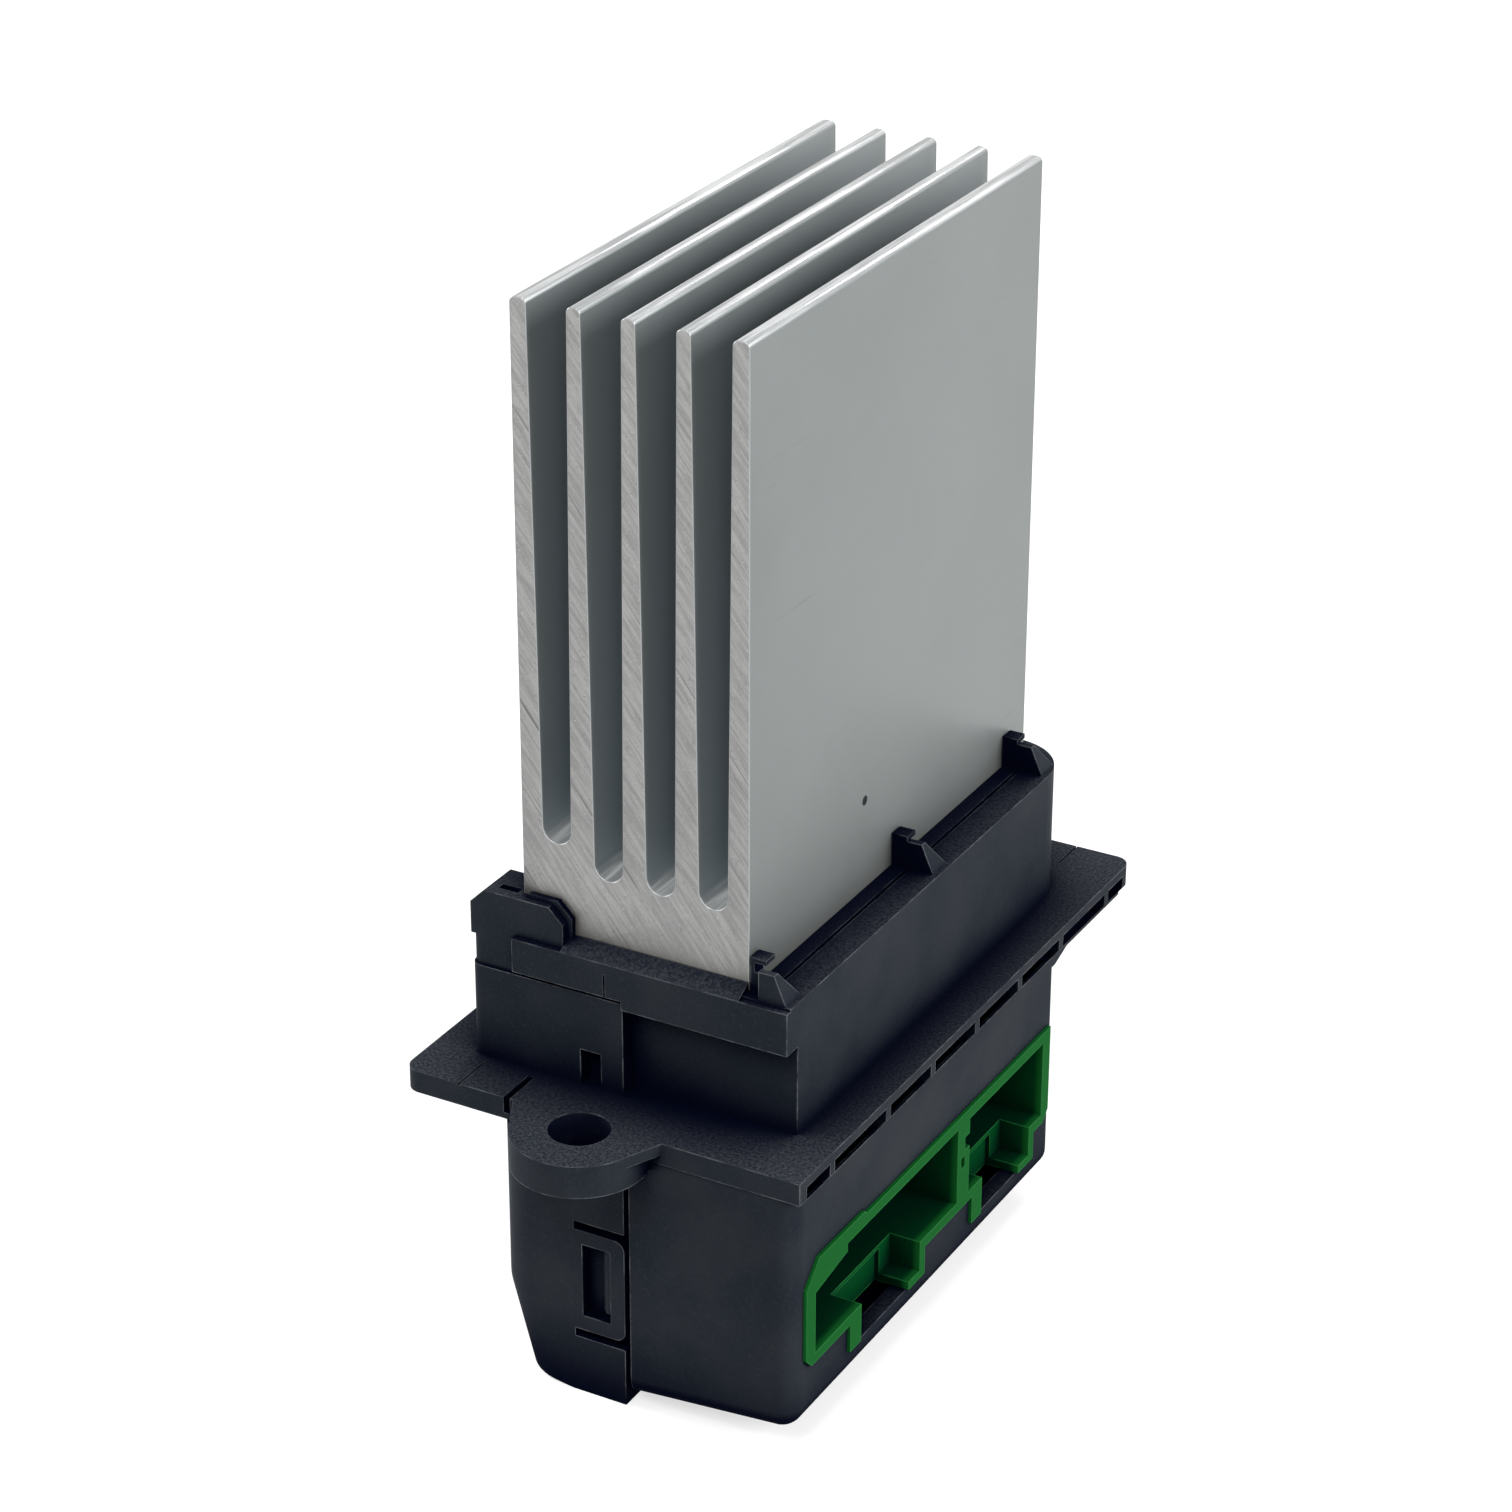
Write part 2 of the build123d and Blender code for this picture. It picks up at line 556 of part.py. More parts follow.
def inner_room():
    """The seat of the heat sink and the way down for its web and the transistors."""
    x = SINK_X + SLIDE_FIT
    y = SINK_Y + SLIDE_FIT
    seat = span((-x, x), (-y, y), (SINK_SEAT_Z, CAP_TOP_Z + CAP_LIP_RISE + BEYOND))
    hall_front = -COLLAR_Y + COLLAR_WALL
    hall_right = COLLAR_X - COLLAR_WALL - LINER_WIDTH
    way_y = (WEB_FRONT_Y - WAY_MARGIN, WEB_BACK_Y + WAY_MARGIN)
    way_x = (TRANSISTOR_FACE_X - CLIP_THICKNESS - WAY_MARGIN, WEB_X + WAY_MARGIN)
    way = span(way_x, way_y, (COLLAR_FLOOR_Z - BEYOND, SINK_SEAT_Z + BEYOND))
    hall_x = (-COLLAR_X + COLLAR_WALL, hall_right)
    hall = span(hall_x, (hall_front, INNER_BACK_Y), (0, COLLAR_FLOOR_Z))
    mouth = span((HALL_LEFT_X, hall_right), (hall_front, INNER_BACK_Y), (UNDER_FLANGE_Z - BEYOND, BEYOND))
    room = seat + way + hall + mouth
    for screw_y in SINK_SCREW_PLACES:
        shaft = SINK_SCREW / 2 + SLIDE_FIT
        room += rod((0, screw_y, COLLAR_FLOOR_Z - BEYOND), (0, 0, 1), shaft, COLLAR_FLOOR + 2 * BEYOND)
    return room


def liner_groove():
    """The fine dark line along the top of the right-hand rail."""
    x = RAIL_X + LINER_WIDTH
    z = (COLLAR_TOP - LINER_GROOVE_DEPTH, COLLAR_TOP + BEYOND)
    return span((x, x + LINER_GROOVE), (STATION_PLACES[0] + GUSSET_FOOT_LENGTH, STATION_PLACES[-1]), z)


def make_station(y, setback):
    """Clip against the heat sink: an upright hook and a gusset that slopes away from it."""
    low = COLLAR_TOP - BEYOND
    hook_y = (y + setback, y + setback + HOOK_LENGTH)
    hook = span((RAIL_X, RAIL_X + HOOK_THICKNESS), hook_y, (low, HOOK_TOP_Z))
    left = RAIL_X + HOOK_THICKNESS - SLIDE_FIT
    outline = [(left, low), (left, GUSSET_TOP_Z), (GUSSET_TOP_X, GUSSET_TOP_Z)]
    outline += [(COLLAR_X - GUSSET_INSET, COLLAR_TOP), (COLLAR_X - GUSSET_INSET, low)]
    foot = y + GUSSET_FOOT_LENGTH
    gusset = along_y(outline, y, foot)
    slope = [(y + GUSSET_TOP_LENGTH, GUSSET_TOP_Z), (foot, COLLAR_TOP)]
    slope += [(foot + BEYOND, COLLAR_TOP), (foot + BEYOND, GUSSET_TOP_Z)]
    return hook + gusset - along_x(slope, left - BEYOND, COLLAR_X)


def box_outline(inset, left_x, right_x, top_z):
    """Outline of the box in X and Z, with its bottom rising towards the sockets."""
    rise = (BOX_BOTTOM_RIGHT_Z - BOX_BOTTOM_LEFT_Z) / (BOX_RIGHT_X - SEAM_X)
    low_left = BOX_BOTTOM_LEFT_Z + rise * (left_x - SEAM_X) + inset
    low_right = BOX_BOTTOM_LEFT_Z + rise * (right_x - SEAM_X) + inset
    return [(left_x, top_z), (right_x, top_z), (right_x, low_right), (left_x, low_left)]


def make_box():
    """The right part of the box, and the thinner walls that the side cover laps over."""
    outline = box_outline(0, HOUSING_SEAM_X, BOX_RIGHT_X, UNDER_FLANGE_Z)
    box = along_y(outline, BOX_FRONT_Y, BOX_BACK_Y)
    low = [e for e in box.edges().filter_by(Axis.Y) if e.center().Z < BOX_BOTTOM_RIGHT_Z + BEYOND]
    box = fillet(ShapeList(low).sort_by(Axis.X)[-1], BOX_EDGE_ROUND)
    for y, corner in ((BOX_FRONT_Y, BOX_FRONT_CORNER), (BOX_BACK_Y, BOX_BACK_CORNER)):
        ends = [e for e in box.edges() if abs(e.center().Y - y) < 0.01]
        ends = [e for e in ends if e.center().X > BOX_RIGHT_X - BOX_EDGE_ROUND / 2]
        box = fillet(ends, corner)
    shoulder_x = HOUSING_SEAM_X + LAP_WALL
    lap_y = (BOX_FRONT_Y + LAP_DEPTH, BOX_BACK_Y - LAP_DEPTH)
    lap_floor = COVER_BOTTOM_Z + LAP_DEPTH
    box += span((BOX_OPEN_X, shoulder_x), lap_y, (lap_floor, UNDER_FLANGE_Z))
    inner = box_outline(BOX_WALL, shoulder_x, INNER_RIGHT_X, UNDER_FLANGE_Z)
    box -= along_y(inner, INNER_FRONT_Y, INNER_BACK_Y)
    room_y = (lap_y[0] + LAP_WALL, lap_y[1] - LAP_WALL)
    return box - span((BOX_OPEN_X - BEYOND, shoulder_x + BEYOND), room_y, (lap_floor + LAP_WALL, UNDER_FLANGE_Z))


def make_catches():
    """One ramped catch on each side wall for the windows of the side cover."""
    right = WINDOW_RIGHT_X - SLIDE_FIT / 2
    x = (right - CATCH_LENGTH, right)
    z = (WINDOW_BOTTOM_Z + CATCH_SHORTFALL, WINDOW_TOP_Z - SLIDE_FIT)
    front = span(x, (BOX_FRONT_Y + SLIDE_FIT, BOX_FRONT_Y + LAP_DEPTH + LAP_WALL / 2), z)
    front = chamfer(upright_edges(front, x[0], BOX_FRONT_Y + SLIDE_FIT), CATCH_RAMP)
    back = span(x, (BOX_BACK_Y - LAP_DEPTH - LAP_WALL / 2, BOX_BACK_Y - SLIDE_FIT), z)
    back = chamfer(upright_edges(back, x[0], BOX_BACK_Y - SLIDE_FIT), CATCH_RAMP)
    return front + back


def make_main_housing():
    turned_ear = Rot(0, 0, 180) * make_ear()
    housing = make_flange() + make_ear() + turned_ear + make_collar() + make_box() + make_catches()
    housing -= inner_room()
    housing -= liner_groove()
    for pocket in flange_pockets():
        housing -= pocket
    for y, setback in zip(STATION_PLACES, HOOK_SETBACKS):
        housing += make_station(y, setback)
    housing -= ear_cuts() + Rot(0, 0, 180) * ear_cuts()
    return housing - along_x(insert_outline(INSERT_FIT), INNER_RIGHT_X - BEYOND, BOX_RIGHT_X + BEYOND)


# Side cover


def cover_outline(inset):
    """Outline of the cover in X and Z, with its foot drawn in on the left."""
    right = SEAM_X if inset == 0 else SEAM_X + BEYOND
    top = UNDER_FLANGE_Z - COVER_TOP_GAP if inset == 0 else UNDER_FLANGE_Z + BEYOND
    return [
        (COVER_LEFT_X + inset, top),
        (right, top),
        (right, COVER_BOTTOM_Z + inset),
        (COVER_TOE_X + (SEAM_X - COVER_TOE_X) / 2, COVER_BOTTOM_Z + inset),
        (COVER_TOE_X + inset, COVER_TOE_Z + inset),
        (COVER_LEFT_X + inset, COVER_BEND_Z + inset / 4),
    ]


def cover_block(inset):
    y0 = BOX_FRONT_Y + inset
    y1 = BOX_BACK_Y - inset
    block = along_y(cover_outline(inset), y0, y1)
    bend = block.edges().filter_by(Axis.Y).sort_by_distance((COVER_LEFT_X + inset, (y0 + y1) / 2, COVER_BEND_Z))[0]
    block = fillet(bend, COVER_BEND_ROUND)
    sides = []
    for edge in block.edges():
        middle = edge.center()
        on_end = abs(middle.Y - y0) < 0.01 or abs(middle.Y - y1) < 0.01
        if on_end and middle.X < COVER_TOE_X + inset - 0.3 and abs(middle.Z - UNDER_FLANGE_Z) > 2:
            sides.append(edge)
    return fillet(sides, COVER_CORNER - inset)


def tongue_slots(y):
    """The two slots that free a tongue, and the window in it."""
    slot_x = (TONGUE_LEFT_X, SEAM_X + BEYOND)
    upper = span(slot_x, y, (TONGUE_TOP_Z, TONGUE_TOP_Z + TONGUE_SLOT))
    lower = span(slot_x, y, (TONGUE_BOTTOM_Z - TONGUE_SLOT, TONGUE_BOTTOM_Z))
    cuts = upper + lower + span((WINDOW_LEFT_X, WINDOW_RIGHT_X), y, (WINDOW_BOTTOM_Z, WINDOW_TOP_Z))
    # The free end of the tongue has round corners.
    corner_x = SEAM_X - TONGUE_CORNER
    for z, side in ((TONGUE_TOP_Z, -1), (TONGUE_BOTTOM_Z, 1)):
        corner_z = z + side * TONGUE_CORNER
        corner = span((corner_x, SEAM_X + BEYOND), y, sorted((z, corner_z)))
        cuts += corner - rod((corner_x, y[0], corner_z), (0, 1, 0), TONGUE_CORNER, y[1] - y[0])
    return cuts


def make_side_cover():
    cover = cover_block(0) - cover_block(COVER_WALL)
    cover -= tongue_slots((BOX_FRONT_Y - BEYOND, COVER_INNER_FRONT_Y + BEYOND))
    cover -= tongue_slots((COVER_INNER_BACK_Y - BEYOND, BOX_BACK_Y + BEYOND))
    # The front edge passes under the thicker ear.
    ear_room_x = (COVER_LEFT_X - BEYOND, SEAM_X + BEYOND)
    ear_room_y = (BOX_FRONT_Y - BEYOND, COVER_INNER_FRONT_Y + SLIDE_FIT)
    return cover - span(ear_room_x, ear_room_y, (-EAR_THICKNESS - COVER_TOP_GAP, 0))


# Connector insert


def insert_outline(grow):
    """Outer outline of the green block in Y and Z, with the cheeks of both latches."""
    front = INSERT_FRONT_Y - grow
    back = INSERT_BACK_Y + grow
    hump = INSERT_TOP_Z + INSERT_HUMP + grow
    top = INSERT_TOP_Z + grow
    low = SOCKET_BOTTOM_Z - INSERT_RIM - grow
    foot = LATCH_BOTTOM_Z - grow
    points = [(front, hump - INSERT_CORNER), (front + INSERT_CORNER, hump)]
    points += [(HUMP_BACK_Y, hump), (HUMP_BACK_Y + INSERT_HUMP, top), (back, top)]
    points += [(back, low + INSERT_RIM), (back - INSERT_RIM, low)]
    for latch in (NARROW_LATCH_Y, WIDE_LATCH_Y):
        right = latch[1] + RIGHT_CHEEK + grow
        left = latch[0] - LEFT_CHEEK - grow
        points += [(right, low), (right, foot), (left, foot), (left, low)]
    points += [(front + INSERT_RIM, low), (front, low + INSERT_RIM)]
    return points


def socket_room(y, latch_y):
    """One socket with the latch room below it and the notch that the latch bites into."""
    face = INSERT_FACE_X + BEYOND
    room = span((SOCKET_FLOOR_X, face), y, (SOCKET_BOTTOM_Z, SOCKET_TOP_Z))
    latch_low = LATCH_BOTTOM_Z + LATCH_FOOT_HEIGHT
    room += span((INSERT_FACE_X - LATCH_SETBACK, face), latch_y, (latch_low, SOCKET_BOTTOM_Z + BEYOND))
    notch_y = (latch_y[0], latch_y[1] - LATCH_FOOT_WIDTH)
    notch_z = (LATCH_BOTTOM_Z - BEYOND, SOCKET_BOTTOM_Z - LATCH_FOOT_HEIGHT / 2)
    return room + span((INSERT_FACE_X - LATCH_NOTCH_SETBACK, face), notch_y, notch_z)


def make_connector_insert():
    block = along_x(insert_outline(0), INSERT_BASE_X, INSERT_FACE_X)
    # Behind the wall the block is narrower, so that it fits between the side walls.
    side = (INNER_BACK_Y - SLIDE_FIT, INSERT_BACK_Y + BEYOND)
    block -= span((INSERT_BASE_X - BEYOND, INNER_RIGHT_X + SLIDE_FIT), side, (LATCH_BOTTOM_Z - BEYOND, -BEYOND))
    block -= socket_room(WIDE_SOCKET_Y, WIDE_LATCH_Y)
    block -= socket_room(NARROW_SOCKET_Y, NARROW_LATCH_Y)
    # Coding: a lower ceiling at the near end of the wide socket, a keyway in the narrow one.
    near = WIDE_SOCKET_Y[0]
    code_z = SOCKET_TOP_Z - CODING_STEP
    coding = [(near, SOCKET_TOP_Z), (near, code_z - CODING_SLOPE)]
    coding += [(CODING_STEP_Y, code_z), (CODING_STEP_Y, SOCKET_TOP_Z)]
    block += along_x(coding, SOCKET_FLOOR_X, INSERT_FACE_X)
    key_y = (NARROW_SOCKET_Y[0] - KEYWAY_DEPTH, NARROW_SOCKET_Y[0])
    block -= span((SOCKET_FLOOR_X, INSERT_FACE_X + BEYOND), key_y, KEYWAY_Z)
    block -= span((INSERT_FACE_X - SLIT_DEPTH, INSERT_FACE_X + BEYOND), SLIT_Y, SLIT_Z)
    for y in BLADE_PLACES:
        block -= blade_tail(y)
    for y in PIN_PLACES:
        block -= pin_bar(y)
    return block


# Terminals


def blade_tail(y):
    x = (TAIL_X, SOCKET_FLOOR_X)
    return span(x, centred(y, BLADE_TAIL_WIDTH), centred(TERMINAL_Z, BLADE_THICKNESS))


def make_blade(y):
    blade = span((SOCKET_FLOOR_X, TERMINAL_TIP_X), centred(y, BLADE_WIDTH), centred(TERMINAL_Z, BLADE_THICKNESS))
    blade = chamfer(blade.faces().sort_by(Axis.X)[-1].edges().filter_by(Axis.Z), BLADE_TIP_CHAMFER)
    tip = blade.faces().sort_by(Axis.X)[-1].edges().filter_by(Axis.Y)
    blade = chamfer(tip, BLADE_THICKNESS / 4)
    return blade + blade_tail(y)


def pin_bar(y):
    x = (TAIL_X, TERMINAL_TIP_X)
    return span(x, centred(y, PIN_WIDTH), centred(TERMINAL_Z, PIN_WIDTH))


def make_pin(y):
    pin = pin_bar(y)
    return chamfer(pin.faces().sort_by(Axis.X)[-1].edges(), PIN_WIDTH / 4)


# Circuit board and what stands on it


def two_leads(y, z, pitch, start_x):
    """Two round wires from inside a part to the far face of the board."""
    length = BOARD_RIGHT_X - start_x
    low = rod((start_x, y, z - pitch / 2), (1, 0, 0), LEAD_DIAMETER / 2, length)
    return low + rod((start_x, y, z + pitch / 2), (1, 0, 0), LEAD_DIAMETER / 2, length)


def make_board():
    board = span((BOARD_LEFT_X, BOARD_RIGHT_X), (BOARD_FRONT_Y, BOARD_BACK_Y), (BOARD_BOTTOM_Z, BOARD_TOP_Z))
    for y in BLADE_PLACES:
        board -= blade_tail(y)
    for y in PIN_PLACES:
        board -= pin_bar(y)
    board -= two_leads(CHOKE_Y, CHOKE_Z, CHOKE_LEAD_PITCH, BOARD_LEFT_X)
    for y in TRANSISTOR_PLACES:
        for leg_y in leg_places(y):
            board -= leg_foot(leg_y)
    return board


def make_capacitor(y):
    """Electrolytic can with the bead that seals it, on a square base with two flat contacts."""
    top_x = BOARD_LEFT_X - CAN_HEIGHT
    radius = CAN_DIAMETER / 2
    bead_x = BOARD_LEFT_X - CAN_BEAD_OFFSET
    foot_x = BOARD_LEFT_X - CAN_BASE_THICKNESS
    points = [(top_x, 0), (top_x, radius - CAN_EDGE), (top_x + CAN_EDGE, radius)]
    points += [(bead_x - CAN_BEAD_WIDTH / 2, radius), (bead_x, radius - CAN_BEAD_DEPTH)]
    points += [(bead_x + CAN_BEAD_WIDTH / 2, radius), (foot_x, radius), (foot_x, 0)]
    can = turned(points, y, CAN_Z)
    base =left_part((CAN_BASE_WIDTH, CAN_BASE_WIDTH, CAN_BASE_THICKNESS), (y, CAN_Z))
    base = chamfer(base.edges().filter_by(Axis.X).sort_by(Axis.Z)[-2:], CAN_BASE_CORNER)
    contacts = left_part((CAN_CONTACT_WIDTH, CAN_CONTACT_LENGTH, CAN_CONTACT_THICKNESS), (y, CAN_Z))
    return can + base + contacts


def make_choke_core():
    start = BOARD_LEFT_X - CHOKE_HEIGHT
    middle = (start + CHOKE_FLANGE, CHOKE_Y, CHOKE_Z)
    core = rod((start, CHOKE_Y, CHOKE_Z), (1, 0, 0), CHOKE_DIAMETER / 2, CHOKE_FLANGE)
    core += rod(middle, (1, 0, 0), CHOKE_NECK / 2, CHOKE_HEIGHT - 2 * CHOKE_FLANGE)
    foot_x = BOARD_LEFT_X - CHOKE_FLANGE
    core += rod((foot_x, CHOKE_Y, CHOKE_Z), (1, 0, 0), CHOKE_DIAMETER / 2, CHOKE_FLANGE)
    return core - two_leads(CHOKE_Y, CHOKE_Z, CHOKE_LEAD_PITCH, foot_x)


def make_choke_winding():
    """Wire turns side by side, as one ribbed sleeve, with its two ends in the board."""
    inner = CHOKE_NECK / 2 + WIRE_FIT
    start = BOARD_LEFT_X - CHOKE_HEIGHT + CHOKE_FLANGE + WIRE_FIT
    length = CHOKE_HEIGHT - 2 * CHOKE_FLANGE - 2 * WIRE_FIT
    pitch = length / WIRE_TURNS
    points = [(start, inner), (start, inner + WIRE_DIAMETER / 2)]
    for turn in range(WIRE_TURNS):
        ridge_x = start + (turn + 0.5) * pitch
        points += [(ridge_x, inner + WIRE_DIAMETER), (ridge_x + pitch / 2, inner + WIRE_DIAMETER / 2)]
    points.append((start + length, inner))
    sleeve = turned(points, CHOKE_Y, CHOKE_Z)
    return sleeve + two_leads(CHOKE_Y, CHOKE_Z, CHOKE_LEAD_PITCH, start + length - pitch / 2)


def left_part(size, place):
    """A block on the side of the board that faces the heat sink's web."""
    y, z = place
    return span((BOARD_LEFT_X - size[2], BOARD_LEFT_X), centred(y, size[0]), centred(z, size[1]))


def right_part(size, place):
    """A block on the side of the board that faces the sockets."""
    y, z = place
    return span((BOARD_RIGHT_X, BOARD_RIGHT_X + size[2]), centred(y, size[0]), centred(z, size[1]))


def make_shunt():
    """Flat metal strap that stands off the board on its two bent feet."""
    width, height, thickness = SHUNT_SIZE
    strap = left_part((width, height, thickness + SHUNT_STANDOFF), SHUNT_PLACE)
    gap = left_part((width - 2 * thickness, height + 2 * BEYOND, SHUNT_STANDOFF), SHUNT_PLACE)
    strap = fillet(strap.faces().sort_by(Axis.X)[0].edges().filter_by(Axis.Z), thickness / 2)
    return strap - gap


def make_control_chip():
    body = right_part(CHIP_SIZE, CHIP_PLACE)
    body = chamfer(body.faces().sort_by(Axis.X)[-1].edges(), CHIP_LEG_THICKNESS)
    y, z = CHIP_PLACE
    for number in range(CHIP_LEG_COUNT):
        leg_y = y + (number - (CHIP_LEG_COUNT - 1) / 2) * CHIP_LEG_PITCH
        legs_height = CHIP_SIZE[1] + 2 * CHIP_LEG_REACH
        body += right_part((CHIP_LEG_WIDTH, legs_height, CHIP_LEG_THICKNESS), (leg_y, z))
    return body


def make_diode():
    body = right_part(DIODE_SIZE, DIODE_PLACE)
    body = chamfer(body.faces().sort_by(Axis.X)[-1].edges(), CHIP_LEG_THICKNESS)
    contact = (DIODE_SIZE[0] + 2 * CHIP_LEG_REACH, DIODE_SIZE[1] / 2, CHIP_LEG_THICKNESS)
    return body + right_part(contact, DIODE_PLACE)


# Power transistors and their clamp


def leg_places(y):
    return [y - LEG_PITCH, y, y + LEG_PITCH]


def leg_foot(y):
    return span((LEG_X, BOARD_RIGHT_X), centred(y, LEG_WIDTH), centred(LEG_Z, LEG_THICKNESS))


def make_transistor(y):
    """Moulded body on a metal tab, with three legs that pass under the web to the board."""
    top = TRANSISTOR_BOTTOM_Z + TRANSISTOR_HEIGHT
    body_top = TRANSISTOR_BOTTOM_Z + TRANSISTOR_BODY_HEIGHT
    width = centred(y, TRANSISTOR_WIDTH)
    body = span((TRANSISTOR_FACE_X, PAD_X), width, (TRANSISTOR_BOTTOM_Z, body_top))
    body = chamfer(body.faces().sort_by(Axis.X)[0].edges(), TAB_THICKNESS / 4)
    tab = span((PAD_X - TAB_THICKNESS, PAD_X), width, (body_top, top))
    tab = chamfer(tab.faces().sort_by(Axis.Z)[-1].edges().filter_by(Axis.X), TAB_THICKNESS)
    hole_z = (body_top + top) / 2
    tab -= rod((TRANSISTOR_FACE_X, y, hole_z), (1, 0, 0), TAB_HOLE / 2, TRANSISTOR_THICKNESS + BEYOND)
    body += tab
    for leg_y in leg_places(y):
        leg_x = (LEG_X, LEG_X + LEG_THICKNESS)
        body += span(leg_x, centred(leg_y, LEG_WIDTH), (LEG_Z, TRANSISTOR_BOTTOM_Z + BEYOND))
        body += leg_foot(leg_y)
    return body


def clip_bore():
    """Room for the clip's screw, through the pad and the clip."""
    start = (TRANSISTOR_FACE_X, CLIP_Y, CLIP_Z)
    return rod(start, (1, 0, 0), CLIP_SCREW / 2 + SLIDE_FIT, TRANSISTOR_THICKNESS + BEYOND)


def make_pad():
    """Thin sheet between the transistors and the web."""
    pad = span((PAD_X, -WEB_X), (WEB_FRONT_Y, WEB_BACK_Y), (WEB_BOTTOM_Z + WEB_EDGE_ROUND, COLLAR_FLOOR_Z))
    return pad - clip_bore()


def make_clamp():
    """Spring clip: a screwed middle between the transistors and an arm over each of them."""
    z = centred(CLIP_Z, CLIP_HEIGHT)
    inner = (TRANSISTOR_PLACES[1] - TRANSISTOR_PLACES[0] - TRANSISTOR_WIDTH) / 2 - CLIP_MARGIN
    arm_x = (TRANSISTOR_FACE_X - CLIP_THICKNESS, TRANSISTOR_FACE_X)
    clip = span((PAD_X - CLIP_THICKNESS, PAD_X), (CLIP_Y - inner, CLIP_Y + inner), z)
    for side in (-1, 1):
        outer = sorted((CLIP_Y + side * inner, CLIP_Y + side * (inner - CLIP_THICKNESS)))
        clip += span((arm_x[0], PAD_X), outer, z)
        arm = sorted((CLIP_Y + side * (inner - CLIP_THICKNESS), CLIP_Y + side * (inner + CLIP_ARM)))
        clip += span(arm_x, arm, z)
    return clip - clip_bore()


def make_screw(start, direction, size, head, head_height, length):
    """Cheese-head screw with a square-ended drive slot across its head."""
    plane = Plane(origin=start, z_dir=direction)
    screw = extrude(plane * Circle(size / 2 - THREAD_FIT), length)
    cap = extrude(plane * Circle(head / 2), -head_height)
    screw += cap
    slot = plane * Pos(0, 0, -head_height + DRIVE_DEPTH / 2) * Box(head + BEYOND, DRIVE_WIDTH / 3, DRIVE_DEPTH)
    cross = plane * Pos(0, 0, -head_height + DRIVE_DEPTH / 2) * Box(DRIVE_WIDTH / 3, DRIVE_WIDTH, DRIVE_DEPTH)
    return screw - slot - cross


def make_clamp_screw():
    start = (PAD_X - CLIP_THICKNESS, CLIP_Y, CLIP_Z)
    return make_screw(start, (1, 0, 0), CLIP_SCREW, CLIP_SCREW_HEAD, CLIP_SCREW_HEAD_HEIGHT, CLIP_SCREW_LENGTH)


def make_sink_screws():
    screws = []
    for y in SINK_SCREW_PLACES:
        start = (0, y, COLLAR_FLOOR_Z)
        size = (SINK_SCREW, SINK_SCREW_HEAD, SINK_SCREW_HEAD_HEIGHT, SINK_SCREW_LENGTH)
        screws.append(make_screw(start, (0, 0, 1), *size))
    return Compound(children=screws)


save(make_heat_sink(), "heat_sink")
save(make_main_housing(), "main_housing")
save(make_side_cover(), "side_cover")
save(make_connector_insert(), "connector_insert")
save(make_board(), "circuit_board")
save(make_pad(), "insulating_pad")
save(make_clamp(), "transistor_clamp")
save(make_clamp_screw(), "clamp_screw")
save(make_sink_screws(), "heat_sink_screws")
save(make_choke_core(), "choke_core")
save(make_choke_winding(), "choke_winding")
save(make_shunt(), "shunt_resistor")
save(make_control_chip(), "control_chip")
save(make_diode(), "suppressor_diode")
save(left_part(SENSOR_SIZE, SENSOR_PLACE), "temperature_sensor")
for number, y in enumerate(TRANSISTOR_PLACES, 1):
    save(make_transistor(y), "power_transistor_" + str(number))
for number, y in enumerate(CAN_PLACES, 1):
    save(make_capacitor(y), "capacitor_" + str(number))
for number, y in enumerate(BLADE_PLACES, 1):
    save(make_blade(y), "power_terminal_" + str(number))
for number, y in enumerate(PIN_PLACES, 1):
    save(make_pin(y), "signal_terminal_" + str(number))
for number, place in enumerate(CERAMIC_PLACES, 1):
    save(right_part(CERAMIC_SIZE, place), "ceramic_capacitor_" + str(number))
for number, place in enumerate(CHIP_RESISTOR_PLACES, 1):
    save(right_part(CHIP_RESISTOR_SIZE, place), "chip_resistor_" + str(number))
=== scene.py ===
import bpy
import math
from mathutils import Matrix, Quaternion, Vector


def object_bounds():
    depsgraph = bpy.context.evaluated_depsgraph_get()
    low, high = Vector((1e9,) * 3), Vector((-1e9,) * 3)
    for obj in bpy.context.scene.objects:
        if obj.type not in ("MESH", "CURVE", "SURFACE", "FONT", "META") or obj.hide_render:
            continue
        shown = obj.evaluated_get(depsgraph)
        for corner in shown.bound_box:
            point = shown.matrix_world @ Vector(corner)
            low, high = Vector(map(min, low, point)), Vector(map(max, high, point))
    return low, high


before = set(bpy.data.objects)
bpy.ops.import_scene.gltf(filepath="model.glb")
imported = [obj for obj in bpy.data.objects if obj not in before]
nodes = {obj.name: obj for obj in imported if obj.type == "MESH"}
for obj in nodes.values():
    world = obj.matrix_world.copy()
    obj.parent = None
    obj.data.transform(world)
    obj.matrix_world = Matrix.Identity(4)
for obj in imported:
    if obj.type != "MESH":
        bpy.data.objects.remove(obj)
cad_low, cad_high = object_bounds()

MM = 0.001

# Camera, fitted to the straight edges in the photograph, in degrees and millimetres
CAMERA_AZIMUTH = 28.99
CAMERA_ELEVATION = 26.37
CAMERA_ROLL = 0.11
CAMERA_DISTANCE = 368.25
CAMERA_AIM = (-2.10, -1.46, 20.47)
CAMERA_LENS = 99.96
CAMERA_SENSOR = 36.0

# Lamps, all aimed at one point: place and width in metres, power in watts
LAMP_AIM = (0.0, 0.0, 0.02)
LAMPS = {
    "right": ((0.80, 0.10, 0.35), 0.5, 7.8),
    "left": ((-0.80, -0.10, 0.30), 0.5, 6.5),
    "front": ((0.0, -0.62, 0.80), 0.4, 5.0),
    "fill": ((0.40, -0.80, 0.35), 0.5, 2.0),
    "back": ((-0.05, 0.85, 0.65), 0.4, 5.0),
}

# How strongly the surround lights the object
WORLD_LIGHT = 0.3

